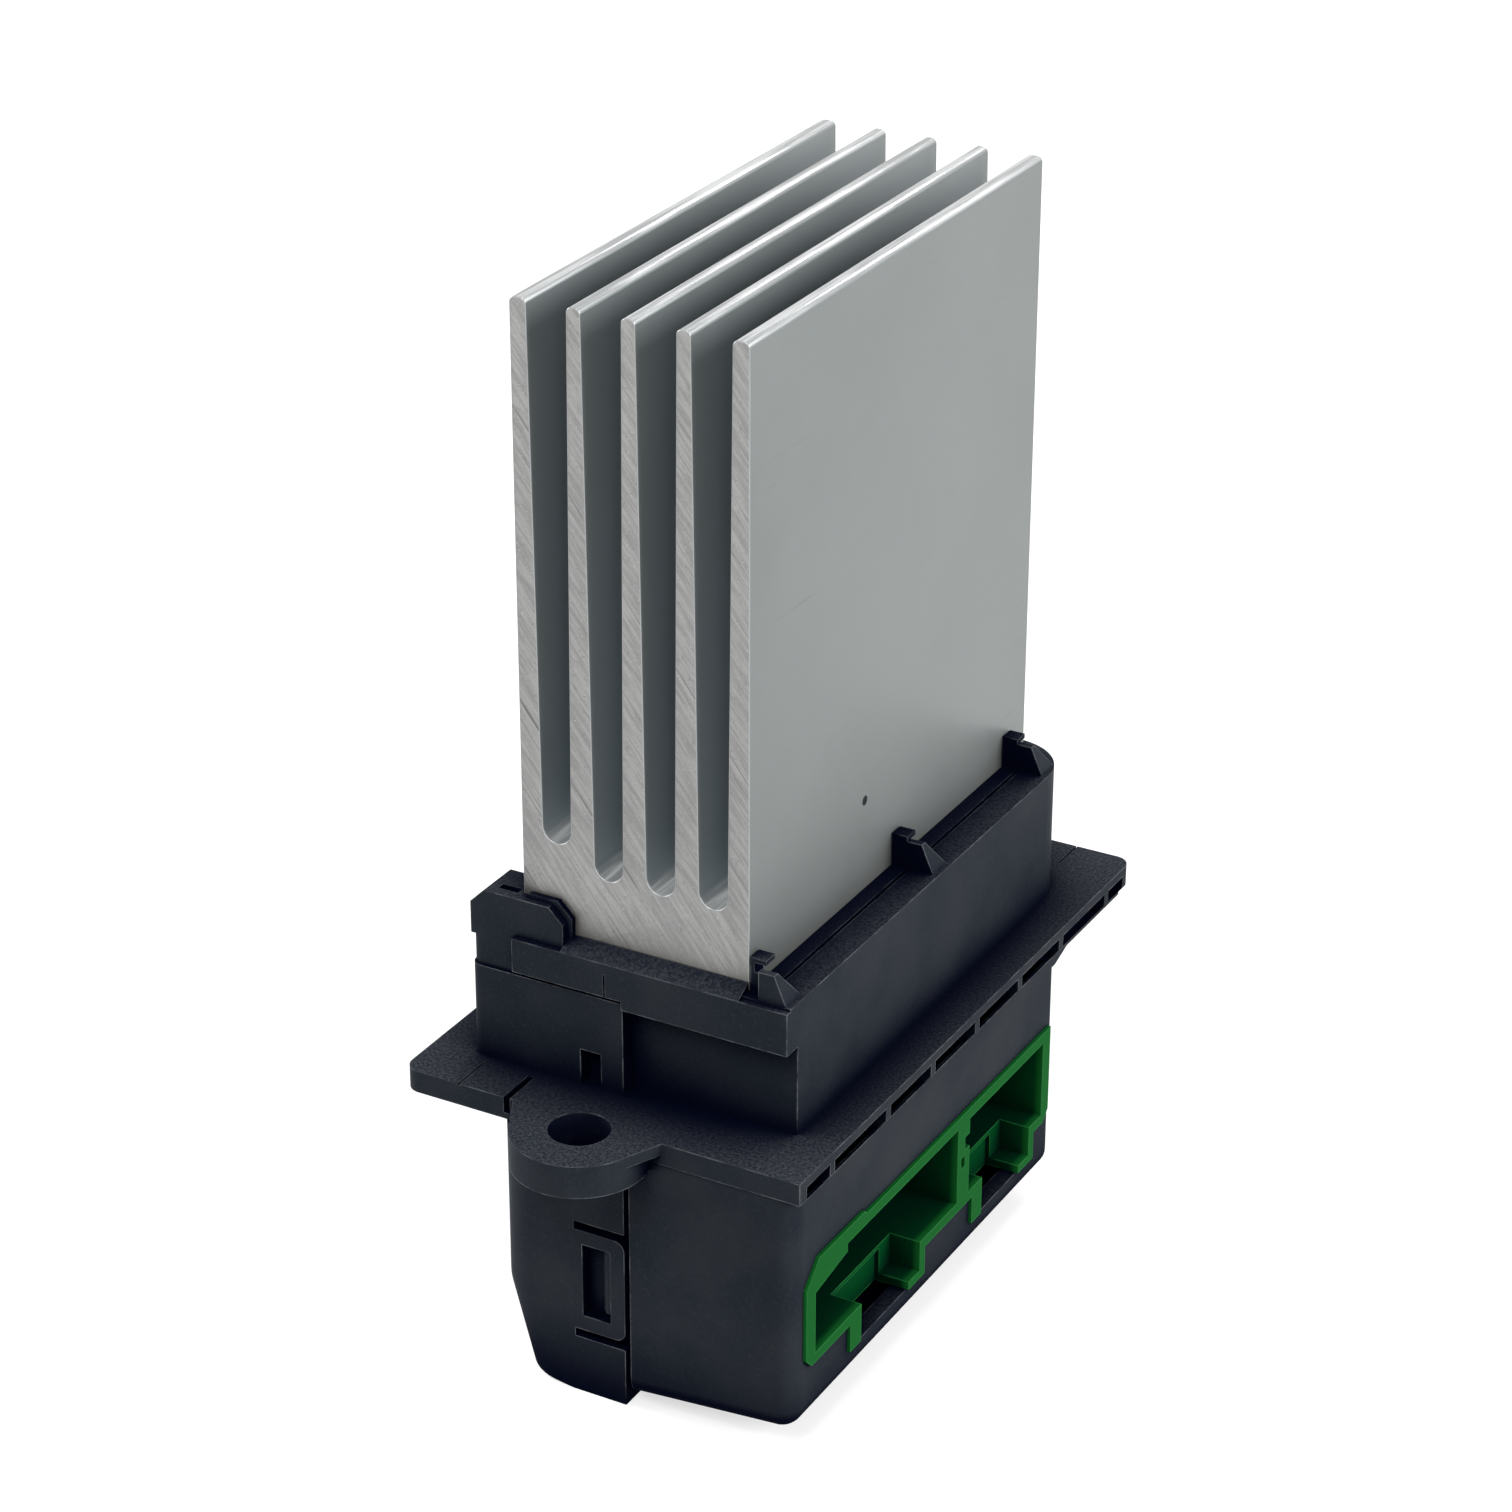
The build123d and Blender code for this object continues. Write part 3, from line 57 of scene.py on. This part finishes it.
# The floor: half its width in metres, its grey, and its glow where it is seen
FLOOR_REACH = 3.0
FLOOR_GREY = 0.45
FLOOR_GLOW = 0.62

# Marks on the heat sink: slant of the saw's lines in degrees, then the pit's place, its radius and how
# far its rim is soft to either side, in millimetres
SAW_SLANT = 53
PIT = (10.9, -5.7, 21.2)
PIT_RADIUS = 0.45
PIT_RIM = 0.05

# How far painted shade and light reach out from the plastics' corners, the fins' gaps and the sawn
# ends' foot, and how far round an edge has to be free to get a painted highlight, in millimetres
CORNER_REACH = 12.0
GAP_REACH = 5.0
FOOT_REACH = 4.0
HIGHLIGHT_FREE_REACH = 1.5

# The plastics' painted edge highlights reach over this width, in millimetres
EDGE_WIDTH = 0.20

# The heat sink's edges: rounding and what is welded before it in millimetres, then the angles between
# faces that count as flat and as an edge, in degrees
EDGE_ROUND = 0.08
EDGE_SEGMENTS = 2
WELD_DISTANCE = 0.001
FLAT_ANGLE = 0.5
EDGE_ANGLE = 32


# Small helpers for materials

def face_x(name):
    """Where the +X face of a CAD node lies, in millimetres."""
    return max(corner[0] for corner in nodes[name].bound_box) / MM


class Nodes:
    """Adds shader nodes to one material and links them. Colours are linear red, green and blue."""

    def __init__(self, name):
        self.material = bpy.data.materials.new(name)
        self.material.use_nodes = True
        self.tree = self.material.node_tree
        self.tree.nodes.clear()
        self.output = self.tree.nodes.new("ShaderNodeOutputMaterial")

    def add(self, kind, **settings):
        node = self.tree.nodes.new(kind)
        for name, value in settings.items():
            setattr(node, name, value)
        return node

    def link(self, source, target):
        self.tree.links.new(source, target)

    def feed(self, target, value):
        """Links a socket, or sets a plain value."""
        if isinstance(value, bpy.types.NodeSocket):
            self.link(value, target)
        else:
            target.default_value = value

    def maths(self, operation, a, b=0.0):
        node = self.add("ShaderNodeMath", operation=operation)
        self.feed(node.inputs[0], a)
        self.feed(node.inputs[1], b)
        return node.outputs[0]

    def mix(self, factor, a, b):
        """Mixes two colours."""
        node = self.add("ShaderNodeMix", data_type="RGBA")
        self.feed(node.inputs[0], factor)
        for target, colour in ((node.inputs[6], a), (node.inputs[7], b)):
            self.feed(target, (*colour, 1) if isinstance(colour, tuple) else colour)
        return node.outputs[2]

    def blend(self, factor, a, b):
        """Mixes two numbers."""
        node = self.add("ShaderNodeMix", data_type="FLOAT")
        self.feed(node.inputs[0], factor)
        self.feed(node.inputs[2], a)
        self.feed(node.inputs[3], b)
        return node.outputs[0]

    def step(self, value, low, high):
        """0 below low, 1 above high, smooth between."""
        node = self.add("ShaderNodeMapRange", interpolation_type="SMOOTHSTEP")
        self.feed(node.inputs[0], value)
        node.inputs[1].default_value = low
        node.inputs[2].default_value = high
        return node.outputs[0]

    def place(self, stretch=(1, 1, 1), turn=(0, 0, 0)):
        """Object coordinates in millimetres, turned and then stretched along the turned axes."""
        coords = self.add("ShaderNodeTexCoord")
        mapping = self.add("ShaderNodeMapping", vector_type="TEXTURE")
        mapping.inputs["Rotation"].default_value = turn
        mapping.inputs["Scale"].default_value = tuple(s * MM for s in stretch)
        self.link(coords.outputs["Object"], mapping.inputs["Vector"])
        return mapping.outputs["Vector"]

    def split(self, vector):
        """The X, Y and Z of a vector."""
        node = self.add("ShaderNodeSeparateXYZ")
        self.link(vector, node.inputs[0])
        return node.outputs

    def normal_parts(self):
        return self.split(self.add("ShaderNodeTexCoord").outputs["Normal"])

    def away_from(self, point):
        """Distance in millimetres from a point given in millimetres."""
        node = self.add("ShaderNodeVectorMath", operation="DISTANCE")
        self.link(self.place(), node.inputs[0])
        node.inputs[1].default_value = point
        return node.outputs["Value"]

    def noise(self, place, scale, detail=2.0, roughness=0.5):
        """A smooth noise about 0.5, its scale in waves for each millimetre of an unstretched place."""
        node = self.add("ShaderNodeTexNoise")
        self.link(place, node.inputs["Vector"])
        node.inputs["Scale"].default_value = scale
        node.inputs["Detail"].default_value = detail
        node.inputs["Roughness"].default_value = roughness
        return node.outputs["Fac"]

    def lines(self, noise, thin, wide):
        """1 along the lines where a noise crosses its middle value."""
        off = self.maths("ABSOLUTE", self.maths("SUBTRACT", noise, 0.5))
        return self.maths("SUBTRACT", 1.0, self.step(off, thin, wide))

    def open_to(self, reach, low, high):
        """0 down in corners and recesses, 1 where the surface stands free within the reach."""
        node = self.add("ShaderNodeAmbientOcclusion", samples=8)
        node.inputs["Distance"].default_value = reach * MM
        return self.step(node.outputs["AO"], low, high)

    def painted_edge_highlights(self):
        """1 along free outer edges, where a rounded normal leans away from the plain one; marks painted
        highlights.
        """
        rounded = self.add("ShaderNodeBevel", samples=6)
        rounded.inputs["Radius"].default_value = EDGE_WIDTH * MM
        plain_normal = self.add("ShaderNodeNewGeometry")
        dot = self.add("ShaderNodeVectorMath", operation="DOT_PRODUCT")
        self.link(rounded.outputs["Normal"], dot.inputs[0])
        self.link(plain_normal.outputs["Normal"], dot.inputs[1])
        lean = self.maths("SUBTRACT", 1.0, dot.outputs["Value"])
        return self.maths("MULTIPLY", self.step(lean, 0.005, 0.09), self.open_to(HIGHLIGHT_FREE_REACH, 0.74, 0.97))

    def bump(self, height, strength, distance):
        """A normal bent by a height, with the distance in millimetres."""
        node = self.add("ShaderNodeBump")
        node.inputs["Strength"].default_value = strength
        node.inputs["Distance"].default_value = distance * MM
        self.link(height, node.inputs["Height"])
        return node.outputs[0]

    def surface(self, normal, gloss=0.5, **values):
        """Ends the material. Each value goes to the input of its name, with spaces for underscores."""
        shader = self.add("ShaderNodeBsdfPrincipled")
        shader.inputs["Specular IOR Level"].default_value = gloss
        for name, value in values.items():
            self.feed(shader.inputs[name.replace("_", " ")], value)
        self.link(normal, shader.inputs["Normal"])
        self.link(shader.outputs[0], self.output.inputs[0])
        return self.material


# Materials

def drawn_finish(n, facing_up):
    """Colour, roughness and relief of the heat sink's long sides, with die lines along the extrusion."""
    dull_dark = (0.180, 0.196, 0.194)
    dull_light = (0.222, 0.238, 0.236)
    die_line = (0.174, 0.190, 0.188)
    gap_painted_light = (0.250, 0.290, 0.315)
    foot_painted_shade = (0.140, 0.145, 0.142)
    painted_highlight_dark = (0.340, 0.350, 0.352)
    painted_highlight_light = (0.560, 0.572, 0.574)
    die = n.noise(n.place((1.0, 30.0, 1.0)), 2.2, 4.0, 0.6)
    cloud = n.noise(n.place(), 0.07, 3.0, 0.6)
    grain = n.noise(n.place(), 5.0, 2.0)
    colour = n.mix(cloud, dull_dark, dull_light)
    colour = n.mix(n.step(die, 0.60, 0.80), colour, die_line)
    # Deep between the fins the walls get painted light, lighter and bluer; at the foot of the outer
    # faces, painted shade.
    across = n.maths("ABSOLUTE", n.split(n.place())["X"])
    outer_x = face_x("heat_sink")
    outer = n.step(across, outer_x - 0.5, outer_x - 0.2)
    free = n.open_to(GAP_REACH, 0.25, 0.85)
    colour = n.mix(free, n.mix(outer, gap_painted_light, foot_painted_shade), colour)
    # The gaps' floors and the fins' tips, which face up, get painted highlight streaks, and the tips are
    # burnished.
    up = n.step(facing_up, 0.25, 0.80)
    burnished = n.maths("MULTIPLY", free, up)
    colour = n.mix(up, colour, n.mix(n.step(die, 0.40, 0.62), painted_highlight_dark, painted_highlight_light))
    rough = n.blend(burnished, n.blend(cloud, 0.42, 0.50), 0.30)
    return colour, rough, n.blend(0.75, grain, die)


def sawn_finish(n):
    """Colour, roughness and relief of the heat sink's ends, crossed at a slant by the saw's marks."""
    mark_dark = (0.240, 0.240, 0.238)
    mark_light = (0.326, 0.326, 0.322)
    mottle_grey = (0.215, 0.213, 0.211)
    bright_grain = (0.400, 0.400, 0.395)
    scratch_dark = (0.110, 0.108, 0.106)
    foot_painted_shade = (0.120, 0.116, 0.108)
    slant = (0, math.radians(SAW_SLANT), 0)
    marks = n.noise(n.place((14.0, 1.0, 1.0), slant), 3.4, 4.0, 0.65)
    mottle = n.noise(n.place(), 2.4, 4.0, 0.7)
    grain = n.noise(n.place(), 5.0, 2.0)
    # Long thin scratches, which break off where a slow noise is low.
    scratch = n.lines(n.noise(n.place((150.0, 1.0, 1.0), slant), 0.36, 1.0), 0.0006, 0.0065)
    scratch = n.maths("MULTIPLY", scratch, n.step(n.noise(n.place(), 0.16, 1.0), 0.38, 0.50))
    colour = n.mix(n.step(marks, 0.36, 0.64), mark_dark, mark_light)
    colour = n.mix(n.step(mottle, 0.54, 0.76), colour, mottle_grey)
    colour = n.mix(n.step(grain, 0.62, 0.72), colour, bright_grain)
    colour = n.mix(n.maths("MULTIPLY", scratch, 0.85), colour, scratch_dark)
    # Painted shade darkens the foot of the sawn ends.
    colour = n.mix(n.open_to(FOOT_REACH, 0.55, 0.98), foot_painted_shade, colour)
    return colour, n.blend(marks, 0.45, 0.62), n.maths("SUBTRACT", marks, scratch)


def aluminium():
    """Drawn metal on the long sides and sawn on the two ends, with a pit low on the right-hand face in
    painted shade.
    """
    pit_painted_shade = (0.004, 0.004, 0.006)
    n = Nodes("aluminium_extrusion")
    normal = n.normal_parts()
    drawn_colour, drawn_rough, drawn_relief = drawn_finish(n, normal["Z"])
    sawn_colour, sawn_rough, sawn_relief = sawn_finish(n)
    sawn = n.step(n.maths("ABSOLUTE", normal["Y"]), 0.85, 0.97)
    # The pit's hollow is painted near black as shade.
    beside_pit = n.step(n.away_from(PIT), PIT_RADIUS - PIT_RIM, PIT_RADIUS + PIT_RIM)
    pit = n.maths("SUBTRACT", 1.0, beside_pit)
    colour = n.mix(pit, n.mix(sawn, drawn_colour, sawn_colour), pit_painted_shade)
    rough = n.blend(sawn, drawn_rough, sawn_rough)
    height = n.maths("SUBTRACT", n.blend(sawn, drawn_relief, sawn_relief), pit)
    return n.surface(n.bump(height, 0.30, 0.03), 0.1, Base_Color=colour, Metallic=0.5, Roughness=rough)


def black_plastic():
    """Dull black moulding: smooth walls, a fine spark-eroded grain on what faces up."""
    wall_dark = (0.0125, 0.0165, 0.0225)
    wall_light = (0.0210, 0.0250, 0.0310)
    wall_mottle = (0.0300, 0.0340, 0.0400)
    grain_dark = (0.0060, 0.0085, 0.0160)
    grain_light = (0.0640, 0.0680, 0.0760)
    corner_painted_shade_blue = (0.0004, 0.0012, 0.0068)
    edge_painted_highlight = (0.140, 0.148, 0.160)
    n = Nodes("black_plastic")
    up = n.step(n.normal_parts()["Z"], 0.7, 0.95)
    grain = n.noise(n.place(), 3.6, 4.0, 0.7)
    fine = n.noise(n.place(), 7.0, 2.0)
    cloud = n.noise(n.place(), 0.12, 3.0)
    mottle = n.noise(n.place(), 3.0, 5.0, 0.8)
    colour = n.mix(n.step(cloud, 0.3, 0.7), wall_dark, wall_light)
    colour = n.mix(n.step(mottle, 0.50, 0.78), colour, wall_mottle)
    speck = n.mix(n.step(grain, 0.36, 0.66), grain_dark, grain_light)
    colour = n.mix(n.maths("MULTIPLY", up, 0.6), colour, speck)
    # Corners and recesses get a painted shade of deep blue black.
    free = n.open_to(CORNER_REACH, 0.50, 0.94)
    colour = n.mix(free, corner_painted_shade_blue, colour)
    # Outer edges get a painted highlight, stronger in some places than in others and weakest on what
    # faces up.
    patchy = n.blend(n.step(n.noise(n.place(), 0.5, 3.0, 0.6), 0.38, 0.68), 0.15, 0.90)
    patchy = n.maths("MULTIPLY", patchy, n.blend(up, 1.0, 0.35))
    colour = n.mix(n.maths("MULTIPLY", n.painted_edge_highlights(), patchy), colour, edge_painted_highlight)
    rough = n.blend(up, n.blend(n.step(mottle, 0.3, 0.7), 0.46, 0.54), n.blend(grain, 0.55, 0.75))
    rough = n.blend(free, 0.95, rough)
    height = n.blend(up, fine, grain)
    return n.surface(n.bump(height, 0.40, 0.06), 0.02, Base_Color=colour, Roughness=rough)


def green_plastic():
    """Green moulding, lighter on the face that the plug meets; the sockets are painted darker as shade.
    """
    socket_painted_shade_dark = (0.0010, 0.046, 0.010)
    socket_painted_shade_light = (0.0018, 0.062, 0.014)
    corner_painted_shade_green = (0.0004, 0.014, 0.007)
    face_green = (0.0055, 0.086, 0.0150)
    edge_painted_highlight = (0.030, 0.200, 0.050)
    n = Nodes("green_plastic")
    cloud = n.noise(n.place(), 0.15, 3.0)
    fine = n.noise(n.place(), 6.0, 2.0)
    outer_x = face_x("connector_insert")
    face = n.step(n.split(n.place())["X"], outer_x - 0.9, outer_x - 0.2)
    colour = n.mix(cloud, socket_painted_shade_dark, socket_painted_shade_light)
    # Corners and recesses in the sockets get a deeper painted shade.
    colour = n.mix(n.open_to(CORNER_REACH, 0.28, 0.90), corner_painted_shade_green, colour)
    colour = n.mix(face, colour, face_green)
    # Outer edges get a painted highlight.
    colour = n.mix(n.maths("MULTIPLY", n.painted_edge_highlights(), 0.7), colour, edge_painted_highlight)
    rough = n.blend(cloud, 0.45, 0.55)
    return n.surface(n.bump(fine, 0.2, 0.03), 0.01, Base_Color=colour, Roughness=rough)


def plain(name, colour, roughness, metallic=0.0):
    """A simple finish with some cloudiness in its colour and a fine grain."""
    n = Nodes(name)
    cloud = n.noise(n.place(), 0.4, 3.0)
    dark = tuple(c * 0.85 for c in colour)
    light = tuple(min(1, c * 1.1) for c in colour)
    rough = n.blend(cloud, roughness * 0.85, roughness * 1.15)
    relief = n.bump(n.noise(n.place(), 4.0, 2.0), 0.2, 0.03)
    return n.surface(relief, Base_Color=n.mix(cloud, dark, light), Metallic=metallic, Roughness=rough)


# Pieces and their finishes

def give(piece, material):
    """Puts one material on all the slots of a CAD node."""
    for slot in piece.material_slots:
        slot.material = material


def shade_smooth(piece):
    """Smooths within each CAD face. Faces share no vertices, so edges stay sharp unless welded later."""
    for face in piece.data.polygons:
        face.use_smooth = True


def round_edges(piece, finish):
    """Welds the faces of a CAD node, joins its flat triangles and rounds its edges, as modifiers."""
    piece.data.materials.append(finish)
    weld = piece.modifiers.new("weld_faces", "WELD")
    weld.merge_threshold = WELD_DISTANCE * MM
    flat = piece.modifiers.new("join_flat_faces", "DECIMATE")
    flat.decimate_type = "DISSOLVE"
    flat.angle_limit = math.radians(FLAT_ANGLE)
    bevel = piece.modifiers.new("round_edges", "BEVEL")
    bevel.width = EDGE_ROUND * MM
    bevel.segments = EDGE_SEGMENTS
    bevel.limit_method = "ANGLE"
    bevel.angle_limit = math.radians(EDGE_ANGLE)
    bevel.harden_normals = True
    bevel.use_clamp_overlap = False
    bevel.material = len(piece.data.materials) - 1


black = black_plastic()
package = plain("chip_package", (0.02, 0.02, 0.022), 0.5)
tinned = plain("tinned_metal", (0.62, 0.62, 0.60), 0.32, 1.0)
zinc = plain("zinc_plate", (0.55, 0.56, 0.55), 0.38, 1.0)
finishes = {
    "heat_sink": aluminium(),
    "main_housing": black,
    "side_cover": black,
    "connector_insert": green_plastic(),
    "circuit_board": plain("solder_mask", (0.015, 0.12, 0.05), 0.35),
    "insulating_pad": plain("silicone_pad", (0.5, 0.5, 0.47), 0.7),
    "transistor_clamp": plain("spring_steel", (0.45, 0.45, 0.46), 0.35, 1.0),
    "clamp_screw": zinc,
    "heat_sink_screws": zinc,
    "choke_core": plain("ferrite", (0.05, 0.05, 0.055), 0.45),
    "choke_winding": plain("copper_wire", (0.62, 0.24, 0.10), 0.3, 1.0),
    "shunt_resistor": plain("resistance_strip", (0.42, 0.36, 0.30), 0.35, 1.0),
    "power_transistor": package,
    "control_chip": package,
    "suppressor_diode": package,
    "temperature_sensor": package,
    "capacitor": plain("aluminium_can", (0.6, 0.6, 0.62), 0.3, 1.0),
    "ceramic_capacitor": plain("ceramic", (0.42, 0.30, 0.18), 0.4),
    "chip_resistor": plain("dark_glaze", (0.02, 0.02, 0.02), 0.25),
    "power_terminal": tinned,
    "signal_terminal": tinned,
}
# Numbered pieces, such as capacitor_1 and capacitor_2, share the finish of their kind.
for name, piece in nodes.items():
    kind = name.rstrip("_0123456789")
    give(piece, finishes[kind])
for name in ("heat_sink", "main_housing", "side_cover", "connector_insert"):
    shade_smooth(nodes[name])
# The heat sink's rounded edges get lighter metal, a painted highlight.
round_edges(nodes["heat_sink"], plain("painted_highlight_edge", (0.33, 0.34, 0.34), 0.36, 0.7))


# Floor, surround, lamps and camera

def seen_directly(tree):
    """1 for rays from the camera, in reflections and through clear things."""
    path = tree.nodes.new("ShaderNodeLightPath")
    seen = path.outputs["Is Camera Ray"]
    for name in ("Is Glossy Ray", "Is Transmission Ray"):
        either = tree.nodes.new("ShaderNodeMath")
        either.operation = "MAXIMUM"
        tree.links.new(seen, either.inputs[0])
        tree.links.new(path.outputs[name], either.inputs[1])
        seen = either.outputs[0]
    return seen


def floor_material():
    """Pale grey, with a glow that makes it white where it is seen and leaves the object's shadow."""
    n = Nodes("pale_floor")
    shader = n.add("ShaderNodeBsdfPrincipled")
    shader.inputs["Base Color"].default_value = (FLOOR_GREY, FLOOR_GREY, FLOOR_GREY, 1)
    shader.inputs["Roughness"].default_value = 0.8
    shader.inputs["Specular IOR Level"].default_value = 0.0
    shader.inputs["Emission Color"].default_value = (1, 1, 1, 1)
    n.link(n.maths("MULTIPLY", seen_directly(n.tree), FLOOR_GLOW), shader.inputs["Emission Strength"])
    n.link(shader.outputs[0], n.output.inputs[0])
    return n.material


def make_floor(z):
    r = FLOOR_REACH
    mesh = bpy.data.meshes.new("floor")
    mesh.from_pydata([(-r, -r, z), (r, -r, z), (r, r, z), (-r, r, z)], [], [(0, 1, 2, 3)])
    floor = bpy.data.objects.new("floor", mesh)
    bpy.context.scene.collection.objects.link(floor)
    floor.data.materials.append(floor_material())


def make_world():
    """A pale surround that the camera and reflections see as white."""
    world = bpy.data.worlds.new("surround")
    bpy.context.scene.world = world
    world.use_nodes = True
    tree = world.node_tree
    tree.nodes.clear()
    strength = tree.nodes.new("ShaderNodeMix")
    strength.data_type = "FLOAT"
    strength.inputs[2].default_value = WORLD_LIGHT
    strength.inputs[3].default_value = 1.0
    tree.links.new(seen_directly(tree), strength.inputs[0])
    background = tree.nodes.new("ShaderNodeBackground")
    background.inputs["Color"].default_value = (1, 1, 1, 1)
    tree.links.new(strength.outputs[0], background.inputs["Strength"])
    output = tree.nodes.new("ShaderNodeOutputWorld")
    tree.links.new(background.outputs[0], output.inputs[0])


def make_lamp(name, place, width, power):
    data = bpy.data.lights.new(name, "AREA")
    data.shape = "SQUARE"
    data.size = width
    data.energy = power
    lamp = bpy.data.objects.new(name, data)
    bpy.context.scene.collection.objects.link(lamp)
    lamp.location = place
    lamp.rotation_mode = "QUATERNION"
    lamp.rotation_quaternion = (Vector(LAMP_AIM) - Vector(place)).to_track_quat("-Z", "Y")


def make_camera():
    azimuth = math.radians(CAMERA_AZIMUTH)
    elevation = math.radians(CAMERA_ELEVATION)
    flat = math.cos(elevation)
    back = Vector((math.sin(azimuth) * flat, -math.cos(azimuth) * flat, math.sin(elevation)))
    data = bpy.data.cameras.new("camera")
    data.lens = CAMERA_LENS
    data.sensor_width = CAMERA_SENSOR
    data.clip_start = 0.01
    data.clip_end = 20.0
    camera = bpy.data.objects.new("camera", data)
    bpy.context.scene.collection.objects.link(camera)
    camera.location = Vector(CAMERA_AIM) * MM + back * CAMERA_DISTANCE * MM
    camera.rotation_mode = "QUATERNION"
    roll = Quaternion((0, 0, 1), math.radians(CAMERA_ROLL))
    camera.rotation_quaternion = (-back).to_track_quat("-Z", "Y") @ roll
    bpy.context.scene.camera = camera


make_floor(cad_low.z)
make_world()
for name, (place, width, power) in LAMPS.items():
    make_lamp(name, place, width, power)
make_camera()

bpy.context.scene.view_settings.view_transform = "Standard"
